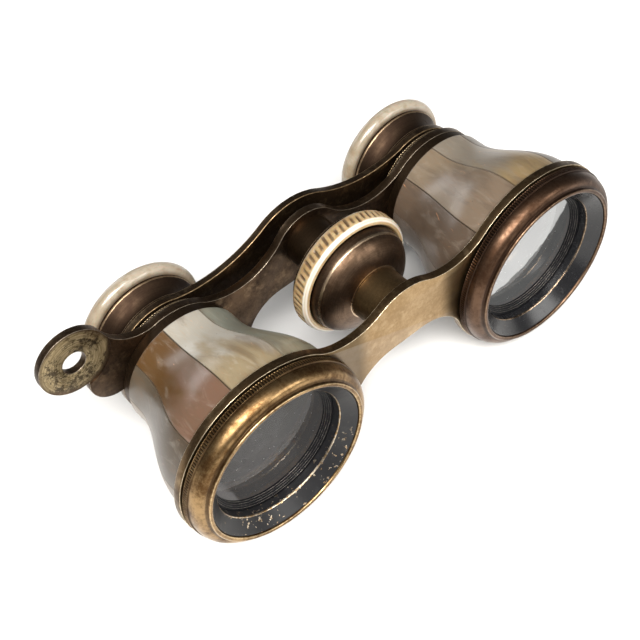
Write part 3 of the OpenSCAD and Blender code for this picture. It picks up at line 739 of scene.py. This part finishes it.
hood = Values(
    front=0.4,  # how far the hood's mouth lies behind the lip's crest
    outer=15.45,
    mouth=15.35,
    throat=13.1,
    coneEnd=2.56,
    step=14.0,
    stepAt=3.55,
    rear=4.2,
)
stopRing = Values(
    outer=14.0,
    front=12.6,
    clear=11.9,
    slope=0.95,  # depth over which the bore narrows from front to clear
    length=1.35,
    threads=3,
)


def makeHood(side):
    # A cone from mouth to throat, worn to brass at the throat, with a step behind that fits the bore
    seat = Seat("lens_hood_" + side)
    h = hood
    step, rear, cone = h.stepAt - h.front, h.rear - h.front, h.coneEnd - h.front
    corners = [(h.outer, 0.05, 0.04), (h.outer, step, soft), (h.step, step, soft),
               (h.step, rear, soft), (h.throat, rear, 0.06), (h.throat, cone, 0.09, 1.15),
               (h.mouth, 0, 0.04)]
    turned("hood_" + side, corners, seat, "barrels", lacquer["hood" + side.capitalize()],
           around=256, finest=0.35)


def makeStopRing(side):
    # The slope is cut in fine steps, as a thread that has been turned away
    seat = Seat("lens_retaining_ring_" + side)
    k = stopRing
    steps = k.threads
    slope = []
    for i in range(steps):
        r = k.front + (k.clear - k.front) * i / steps
        s = k.slope * i / steps
        slope += [(r, s, 0.03, 0.8 if i else 1.0), (r, s + k.slope / steps * 0.8, 0.03)]
    corners = [(k.outer, 0, 0.04)] + slope
    corners += [(k.clear, k.slope, 0.04, 0.9), (k.clear, k.length, 0.04), (k.outer, k.length, 0.04)]
    turned("stopRing_" + side, corners, seat, "barrels", lacquer["ringLacquer"],
           around=192, finest=0.4, fade=0.04)


lenses = {  # faces by depth at the axis and radius of curvature, both signed along the axis
    "crown_lens": dict(front=0.0, frontCurve=90.0, rear=4.42, rearCurve=-60.0, slot="objective_glass",
                       body="barrels", finish="objective", edge=13.9),
    "flint_lens": dict(front=1.632, frontCurve=-60.0, rear=3.132, rearCurve=1e4, slot="objective_glass",
                       body="barrels", finish="cementedGlass", edge=13.9),
    "eye_lens": dict(front=0.728, frontCurve=-40.0, rear=1.628, rearCurve=18.0, slot="eye_glass",
                     body="eyepieces", finish="eyeGlass", edge=7.6),
}


def lensFace(start, curve, edge, steps=16):
    # Sphere face from the edge to the axis: s = start + (R - sqrt(R^2 - r^2)), with R signed
    r = np.linspace(edge, 0, steps + 1)
    s = start + np.sign(curve) * (abs(curve) - np.sqrt(curve ** 2 - r ** 2))
    return list(zip(r, s))


def makeLens(kind, side):
    # Both faces joined at the edge and turned; each objective has a glass of its own
    look = lenses[kind]
    seat = Seat(kind + "_" + side)
    front = lensFace(look["front"], look["frontCurve"], look["edge"])
    rear = lensFace(look["rear"], look["rearCurve"], look["edge"])
    own = look["finish"] + side.capitalize() if look["finish"] == "objective" else look["finish"]
    turned(kind.replace("_lens", "Glass") + "_" + side, front + rear[::-1], seat,
           look["body"], glass[own], around=96, arcSteps=1, finest=2.0)


for side, finish, slot in (("right", "bezelGold", "bezel_gold"), ("left", "bezelCopper", "bezel_copper")):
    makeBezel(side, metal[finish])
    makeHood(side)
    makeStopRing(side)
    for kind in lenses:
        makeLens(kind, side)
print("objectives made")

# ---------------------------------------------------------------- staves
tints = {  # at the rear and at the front of a stave
    "cream": ((0.300, 0.280, 0.238), (0.222, 0.177, 0.108)),
    "silver": ((0.078, 0.062, 0.043), (0.056, 0.041, 0.026)),
    "amber": ((0.086, 0.045, 0.016), (0.125, 0.072, 0.047)),
    "sage": ((0.165, 0.170, 0.138), (0.20, 0.185, 0.130)),
    "olive": ((0.165, 0.142, 0.112), (0.185, 0.134, 0.068)),
    "dove": ((0.165, 0.128, 0.088), (0.140, 0.105, 0.074)),
    "taupe": ((0.100, 0.071, 0.049), (0.080, 0.057, 0.040)),
    "ash": ((0.110, 0.088, 0.070), (0.130, 0.098, 0.074)),
}
staveTints = {
    "right": ["amber", "silver", "dove", "cream", "taupe", "silver", "amber", "dove", "sage", "cream"],
    "left": ["dove", "taupe", "ash", "dove", "silver", "taupe", "cream", "dove", "silver", "olive"],
}

def claddingRadius(s):
    # Two cylinders joined by half a cosine wave
    c = cladding
    t = np.clip((s - c.flareFront) / (c.flareRear - c.flareFront), 0, 1)
    return c.waist + (c.front - c.waist) * (1 + np.cos(math.pi * t)) / 2


def makeStave(side, index, axis, draw):
    # A rounded section carried along the barrel: across = half width * u, height between the two
    # skins; the section's outline is softened once and stretched at each depth to the stave's width
    c = cladding
    seat = Seat(f"stave_{side}_{index}")
    length = seat.length
    nearEnd = np.array([0, 0.06, 0.16])
    s = np.concatenate([nearEnd, np.linspace(0.4, length - 0.4, 60), length - nearEnd[::-1]])
    endEase = np.minimum(1, np.sqrt(np.minimum(s, length - s) / 0.18 + 0.35))[:, None]
    radius = claddingRadius(s)[:, None]
    halfAngle = math.pi / c.count - c.seam / 2 / radius
    section, rim = softened([(-1, -1, 0), (-1, 0, 0.035, 1), (1, 0, 0.035, 1), (1, -1, 0)], 5, 0.09, 0.03)
    u, v = section.T[:, None]
    centre = math.radians(c.firstSeam[side] + 360 / c.count * (index - 0.5))
    angle = centre + u * halfAngle
    rise = c.lift * draw[0] - c.endDrop * (1 - endEase)
    r = radius + v * c.thickness + (v + 1) * rise
    x, z = r * np.cos(angle), r * np.sin(angle)
    y = s[:, None] + 0 * x
    points = np.stack([axis.x + x, seat.front + y, axis.z + z], -1).reshape(-1, 3)
    rows, columns = x.shape
    faces = gridFaces(rows, columns, False).tolist()
    faces += [list(range(columns)), list(range((rows - 1) * columns, rows * columns))[::-1]]
    piece = meshPiece(f"stave_{side}_{index:02d}", points, faces, "barrels",
                      [f"stave_{side}_{index}"], [pearl["pearl" + side.capitalize()]])
    figure = np.stack([u * halfAngle * radius, y, np.full_like(x, draw[1] * 40)], -1)
    giveValues(piece, "figure", figure.reshape(-1, 3))
    ends = np.exp(-(np.minimum(s, length - s) / 0.12) ** 2)[:, None]
    giveValues(piece, "wear", np.maximum(rim, ends + 0 * x).ravel())
    for name, tint in zip(("tintA", "tintB"), tints[staveTints[side][index - 1]]):
        giveValues(piece, name, np.tile(np.array(tint), (rows * columns, 1)))
    windOut(piece)
    piece.data.set_sharp_from_angle(angle=math.radians(50))


def windOut(piece):
    # Turns a closed mesh's faces outwards
    work = bmesh.new()
    work.from_mesh(piece.data)
    bmesh.ops.recalc_face_normals(work, faces=work.faces)
    work.to_mesh(piece.data)
    work.free()


def makeBand(side):
    # The rolled brass band over the staves' rear ends
    seat = Seat("stave_band_" + side)
    width, inside = seat.length, seat.radius - cladding.bandThickness
    corners = [(inside, 0, soft), (seat.radius, 0, 0.12, 0.6), (seat.radius, width, 0.12, 0.4),
               (inside, width, soft)]
    turned("staveBand_" + side, corners, seat, "barrels", metal["darkBrass"], around=128)


def repaint(node, finish):
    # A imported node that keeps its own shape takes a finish
    materials = frame["nodes"][node].data.materials
    materials.clear()
    materials.append(finish)


draws = np.random.default_rng(11)
for side in ("right", "left"):
    axis = Seat("barrel_tube_" + side)
    for index in range(1, cladding.count + 1):
        makeStave(side, index, axis, draws.uniform(-1, 1, 2))
    makeBand(side)
    repaint("barrel_tube_" + side, insideBlack)
    repaint("guide_bush_" + side, cork)
print("staves laid")

# ---------------------------------------------------------------- bridges
plateWork = Values(
    flat=0.4,      # degrees: flatter joints between faces are taken out
    stepTall=0.3,  # a lower side wall is the step of a shallow recess
    edgeAngle=40.0,
)


def makePlate(node, name, finishes, body, width):
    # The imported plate, welded, its flat faces made whole, and its edges rounded. finishes = the flat
    # faces, the rubbed edges and the side walls; a side wall is a face whose normal crosses the axis,
    # and the step of a shallow recess stays sharp.
    piece = frame["nodes"][node].copy()
    piece.data = piece.data.copy()
    piece.name, piece.parent = name, None
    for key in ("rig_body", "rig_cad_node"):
        del piece[key]
    piece.data.materials.clear()
    for finish in finishes:
        piece.data.materials.append(finish)
    work = bmesh.new()
    work.from_mesh(piece.data)
    bmesh.ops.remove_doubles(work, verts=work.verts, dist=0.001 * mm)
    bmesh.ops.dissolve_limit(work, angle_limit=math.radians(plateWork.flat), verts=work.verts,
                             edges=work.edges)
    weight = work.edges.layers.float.new("bevel_weight_edge")
    for face in work.faces:
        depths = [vert.co.y for vert in face.verts]
        side, tall = abs(face.normal.y) < 0.5, max(depths) - min(depths) > plateWork.stepTall * mm
        face.material_index = 2 if side and tall else 0
        face.tag, face.smooth = side and not tall, True
    for edge in work.edges:
        sharp = len(edge.link_faces) == 2 and edge.calc_face_angle() > math.radians(plateWork.edgeAngle)
        step = any(face.tag for face in edge.link_faces)
        edge[weight], edge.smooth = (1.0 if sharp and not step else 0.0), not (sharp and step)
    work.to_mesh(piece.data)
    work.free()
    link(piece)
    arris = piece.modifiers.new("arris", "BEVEL")
    arris.width, arris.segments, arris.limit_method = width * mm, 3, "WEIGHT"
    arris.material, arris.harden_normals = 1, True
    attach(piece, body)
    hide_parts(node)


frontArris = rubbedEdge("frontArris", (0.86, 0.72, 0.50), 0.25)
rearArris = rubbedEdge("rearArris", (0.40, 0.33, 0.25), 0.32)
eyepieceArris = rubbedEdge("eyepieceArris", (0.42, 0.29, 0.16), 0.34)
wall = plate["darkWall"]
makePlate("front_bridge", "frontBridge", [plate["frontPlate"], frontArris, plate["frontWall"]],
          "barrels", 0.07)
makePlate("rear_bridge", "rearBridge", [plate["rearPlate"], rearArris, wall],
          "barrels", 0.1)
makePlate("eyepiece_bridge", "eyepieceBridge", [plate["eyepiecePlate"], eyepieceArris, wall],
          "eyepieces", 0.13)
print("bridges made")

# ---------------------------------------------------------------- glands, draw tubes, eyepieces
gland = Values(bore=7.96, nose=8.9, outer=10.9, flange=1.2, bevel=(0.5, 0.3), teeth=130,
               toothDepth=0.17)
drawWall = 0.5
bell = Values(
    bore=7.95,
    foot=10.2,
    footWidth=0.62,
    neck=9.2,
    flareFrom=1.0,
    flare=3.2,  # length of the flare
    rim=11.05,
    rimAt=4.65,
    rimWidth=0.6,
    seat=9.3,   # the eye ring's seat
    lensBore=7.7,
    stop=6.9,   # ledge in front of the eye lens
    stopFront=1.42,
    stopRear=1.85,
)
eyeRing = Values(
    outer=12.6,
    edge=1.3,
    seat=9.35,
    inner=7.3,
    lap=1.2,
    dirtAt=11.0,
    # the cup for the eye: radius, depth from the rear face, rounding, wear
    cup=((10.2, 0, 0.4, 0.5), (8.7, 0.4, 0.8, 0), (7.7, 1.0, 0.5, 0.3), (7.3, 1.3, 0.15, 0.5)),
)
eyeStop = Values(inner=6.9, rearInner=7.1)


def makeGland(side):
    # A plain nose in the tube, and a knurled flange with a bevelled bore
    seat = Seat("gland_ring_" + side)
    g = gland
    rear, (aside, back) = seat.length, g.bevel
    corners = [(g.bore, 0, soft), (g.nose, 0, soft), (g.nose, g.flange, 0.03),
               (g.outer, g.flange, 0.14, 0.6), (g.outer, rear, 0.16, 0.8),
               (g.bore + aside, rear, soft, 0.4), (g.bore, rear - back, soft)]
    turned("gland_" + side, corners, seat, "barrels", metal["glandBrass"],
           around=6 * g.teeth, arcSteps=4, finest=1.0,
           ripple=knurl(g.teeth, g.toothDepth, g.flange + 0.05, rear - 0.05))


def makeDrawTube(side):
    # A plain thin tube with rounded ends
    seat = Seat("draw_tube_" + side)
    length, inside = seat.length, seat.radius - drawWall
    corners = [(inside, 0, 0.1), (seat.radius, 0, 0.15), (seat.radius, length, 0.1), (inside, length, 0.1)]
    turned("drawTube_" + side, corners, seat, "eyepieces", metal["drawBrass"], around=160,
           finest=0.6)


def makeBell(side):
    # Flare from neck to rim: r = neck + (rim - neck) t^2, between a flat foot and a rolled rim
    seat = Seat("eyepiece_bell_" + side)
    b = bell
    rear, rim, rimEnd = seat.length, b.rimAt, b.rimAt + b.rimWidth
    corners = [(b.bore, 0, soft), (b.foot, 0, 0.1, 0.5), (b.foot, b.footWidth, 0.14, 0.7),
               (b.neck + 0.05, 0.8, 0.1)]
    corners += [(b.neck + (b.rim - 0.3 - b.neck) * k * k, b.flareFrom + b.flare * k)
                for k in np.linspace(0, 1, 15)[1:]]
    corners += [(b.rim - 0.12, rim - 0.2, soft), (b.rim, rim, 0.2, 0.9), (b.rim, rimEnd, 0.12, 0.4),
                (b.seat, rimEnd, soft), (b.seat, rear, 0.1), (b.lensBore, rear, 0.1),
                (b.lensBore, b.stopRear, soft), (b.stop, b.stopRear, soft),
                (b.stop, b.stopFront, soft), (b.bore, b.stopFront, soft)]
    turned("bell_" + side, corners, seat, "eyepieces", metal["bellBronze"], around=192,
           finest=0.35)


def giveDarkening(piece, amount):
    # Stores how dark each point is painted, worked out from radius, depth and angle at each point
    lathe = np.zeros(len(piece.data.vertices) * 3, np.float32)
    piece.data.attributes["lathe"].data.foreach_get("vector", lathe)
    x, y, z = lathe.reshape(-1, 3).T
    giveValues(piece, "darkening", np.clip(amount(np.hypot(x, z), y, np.arctan2(z, x)), 0, 1))


def eyeDarkening(r, s, a):
    # Two dark rings, each fading as exp(-(distance / 0.5)^2): round the bell's rim, and at the opening
    front = 0.75 * np.exp(-((r - eyeRing.dirtAt) / 0.5) ** 2) * (s < 0.25)
    return front + 0.45 * np.exp(-((r - eyeRing.inner) / 0.5) ** 2)


def makeEyeRing(side):
    # Half-round outer edge, with a dished cup for the eye behind
    seat = Seat("eye_ring_" + side)
    e = eyeRing
    rear = seat.length
    corners = [(e.seat, 0, soft)]
    corners += bow((e.outer - e.edge, rear / 2), (e.edge, rear / 2), 14, 170, 22)
    corners += [(r, rear - depth, rounding, wear) for r, depth, rounding, wear in e.cup]
    corners += [(e.inner, e.lap, soft), (e.seat, e.lap, soft)]
    piece = turned("eyeRing_" + side, corners, seat, "eyepieces", shell["eyeShell"],
                   around=192, finest=0.3)
    giveDarkening(piece, eyeDarkening)


def makeLensRing(side):
    # The black ring that holds the eye lens, its bore opening out to the rear
    seat = Seat("eye_lens_ring_" + side)
    width = seat.length
    corners = [(eyeStop.inner, 0, 0.06), (seat.radius, 0, soft), (seat.radius, width, soft),
               (eyeStop.rearInner, width, 0.08, 0.5)]
    turned("eyeStop_" + side, corners, seat, "eyepieces", lacquer["ringLacquer"],
           around=128, finest=0.3)


for side in ("right", "left"):
    makeGland(side)
    makeDrawTube(side)
    makeBell(side)
    makeEyeRing(side)
    makeLensRing(side)
print("eyepieces made")

# ---------------------------------------------------------------- focus wheel
wheel = Values(
    hub=10.4,
    bore=2.46,
    boss=4.2,
    dome=5.4,       # height of the dome's curve, from its base
    domePower=0.8,
    domeFrom=25.5,  # degrees from the axis at which the curve starts
    base=4.98,
    shell=1.0,      # thickness of the dome's wall
    beadAt=10.1,
    beadWidth=0.08,
    beadHeight=0.09,
    grooveAt=9.88,
    grooveWidth=0.10,
    grooveDepth=0.05,
    ring=12.0,
    seat=10.45,
    bevel=0.5,
    notches=60,
    notchDepth=0.26,
    notchWidth=0.30,
    notchStart=0.80,
    notchEnd=3.0,
    slant=0.18,
)
thread = Values(starts=4, lead=8.0, depth=0.34, radius=2.4, journal=2.0, tail=1.5,
                journalWidth=1.4, plain=2.8)


def makeHub():
    # Dome outline: r = R sin^p t, s = base - h cos^p t, with a raised bead and a groove near its rim
    seat = Seat("wheel_hub")
    w = wheel
    rear, hub, base, boss = seat.length, w.hub, w.base, w.boss
    t = np.radians(np.linspace(w.domeFrom, 90, 56))
    r = hub * np.sin(t) ** w.domePower
    bead = np.exp(-((r - w.beadAt) / w.beadWidth) ** 2)
    groove = np.exp(-((r - w.grooveAt) / w.grooveWidth) ** 2)
    s = base - w.dome * np.cos(t) ** w.domePower - w.beadHeight * bead + w.grooveDepth * groove
    dome = [(a, b, 0, c) for a, b, c in zip(r, s, bead * 0.4)]
    dome[0] = (r[0] - 0.05, s[0] - 0.03, 0.08, 1.0)
    # the dome's outer corner is darkened where it meets the ring: painted shade of the seam
    dome[-1] = (r[-1], s[-1], 0, -1.0)
    inner = hub - w.shell
    corners = [(w.bore, 0, 0.1)] + dome
    corners += [(hub, rear, soft), (inner, rear, soft), (inner, base, 0.1), (inner - 0.8, base - 1.9, 0.2),
                (boss + 1, base - 3.6, 0.2), (boss, base - 3.6, 0.1), (boss, rear, 0.1),
                (w.bore, rear, soft)]
    turned("wheelHub", corners, seat, "focus_wheel", metal["hubBronze"], around=224,
           arcSteps=4, finest=0.5)


def notchShape(r, s, a):
    # Short slanted cuts round the rim: exp(-(distance across / width)^4), fading at both ends, with
    # a start, an end and a depth of its own for each cut, by sines of its number k
    w = wheel
    turn = a / fullTurn * w.notches + w.slant * s
    k = np.round(turn)
    off = (turn - k) * fullTurn * w.ring / w.notches
    across = np.exp(-(off / w.notchWidth) ** 4)
    start, end = w.notchStart + 0.20 * np.sin(k * 2.3), w.notchEnd + 0.3 * np.sin(k * 1.7 + 1)
    along = np.clip((s - start) / 0.5, 0, 1) * np.clip((end - s) / 0.6, 0, 1)
    return across * along * (0.85 + 0.15 * np.sin(k * 3.1)) * (r > w.ring - 0.5)


def notchRipple(r, s, a):
    # How far the cuts go into the rim
    return -wheel.notchDepth * notchShape(r, s, a)


def wheelDarkening(r, s, a):
    # Darker in the cuts, painted shade in the seam with the hub, and darker towards the rear
    w = wheel
    cuts = 1.1 * notchShape(np.full_like(r, w.ring), s, a) * (r > w.ring - 0.8)
    # painted shade: the groove between ring and hub
    seam = np.exp(-((r - w.seat) / 0.28) ** 2)
    return cuts + seam + 0.4 * np.clip((s - 1.6) / 1.6, 0, 1)


def makeWheelRing():
    # A pearl ring, pale and bevelled in front, with cuts round its rim
    seat = Seat("wheel_ring")
    w = wheel
    rear, ring = seat.length, w.ring
    corners = [(w.seat, 0.35, soft), (w.seat + 0.4, 0, 0.12, 0.2), (ring - w.bevel, 0.15, 0.2, 0.8),
               (ring - 0.15, 0.55, 0.3, 0.8), (ring, 1.15, 0.4), (ring, rear - 0.6, 0.3),
               (ring - 0.2, rear - 0.2, 0.15), (ring - 0.6, rear, 0.1), (w.seat, rear, soft)]
    piece = turned("wheelRing", corners, seat, "focus_wheel", shell["wheelShell"],
                   around=16 * w.notches, ripple=notchRipple, arcSteps=4, finest=0.16, fade=0.24)
    giveDarkening(piece, wheelDarkening)


def makeThread():
    # Multi-start thread: the radius swings with starts * (angle - full turn * depth / lead), with
    # flat crests and roots; a journal and a tail follow behind it
    seat = Seat("focus_screw")
    k = thread
    length = seat.length
    end = length - k.plain

    def helix(r, s, a):
        band = np.clip((s - 0.5) / 0.5, 0, 1) * np.clip((end - 0.6 - s) / 0.5, 0, 1) * (r > 2.3)
        wave = np.cos(k.starts * (a - fullTurn * s / k.lead))
        return -k.depth * band * (0.5 - 0.5 * np.clip(wave * 1.6, -1, 1))

    journalEnd = end + k.journalWidth
    corners = [(0, 0, 0), (k.radius, 0, 0.3), (k.radius, end, soft), (k.journal, end, 0.03),
               (k.journal, journalEnd, 0.03), (k.tail, journalEnd, 0.03), (k.tail, length, soft),
               (0, length, 0)]
    turned("focusScrew", corners, seat, "eyepieces", metal["screwBrass"], around=64,
           ripple=helix, finest=0.14)


def makeColumn():
    # A tube closed in front by its spigot in the bridge, and open behind for the screw
    seat = Seat("column_tube")
    length, r = seat.length, seat.radius
    spigot, collar, bore, floor = 2.85, 0.85, 2.7, 1.65
    corners = [(0, 0, 0), (spigot, 0, soft), (spigot, collar, 0.03), (r, collar, 0.06, 0.2),
               (r, length, 0.16, 0.5), (bore, length, 0.1), (bore, floor, 0.1), (0, floor, 0)]
    turned("column", corners, seat, "barrels", metal["columnBronze"], around=128,
           finest=0.4)


def makeWheelBack():
    # A disc with a raised outer field behind
    seat = Seat("wheel_back_plate")
    thick, r = seat.length, seat.radius
    bore, field, sink = 2.6, 5.6, 0.12
    corners = [(bore, 0, 0.03), (r, 0, 0.1), (r, thick, 0.22, 0.7), (field, thick, 0.1),
               (field - 0.2, thick - sink, 0.08), (bore, thick - sink, soft, 0.5)]
    turned("wheelBack", corners, seat, "focus_wheel", metal["darkBrass"], around=160,
           finest=0.35)


def makePost():
    # A thick tube with a spigot behind, seated in the rear bridge
    seat = Seat("rear_bush")
    length, r = seat.length, seat.radius
    bore, spigot = 2.46, 3.6
    shoulder = length - 1.6
    corners = [(bore, 0, soft), (r, 0, 0.3, 0.7), (r, shoulder, soft), (spigot, shoulder, 0.03),
               (spigot, length, 0.1, 0.5), (bore, length, soft)]
    turned("rearPost", corners, seat, "barrels", metal["darkBrass"], around=128,
           finest=0.5)


makeHub()
makeWheelRing()
makeThread()
makeColumn()
makeWheelBack()
makePost()
makePlate("screw_nut", "screwNut", [plate["eyepiecePlate"], eyepieceArris, wall],
          "eyepieces", 0.08)
print("focus wheel made")


# ---------------------------------------------------------------- floor
def layFloor():
    # A flat sheet at the lowest point, with a hardly visible mottle
    size, low = studio.floorSize / 2, cadLow.z / mm
    corners = np.array([(-size, -size, low), (size, -size, low), (size, size, low), (-size, size, low)]) * mm
    mesh = bpy.data.meshes.new("studioFloor")
    mesh.from_pydata(corners.tolist(), [], [(0, 1, 2, 3)])
    finish = Finish("studioPaper", Roughness=0.8, Specular_IOR_Level=0.2)
    mottle = finish.noise(finish.place(), 0.02, 3).above(0.3, 0.7)
    colour = studio.floorColour
    finish.feed(Base_Color=finish.blend(mottle, tuple(c * 0.985 for c in colour), colour))
    mesh.materials.append(finish.material)
    floor = bpy.data.objects.new("studioFloor", mesh)
    link(floor)


layFloor()
print("scene ready")
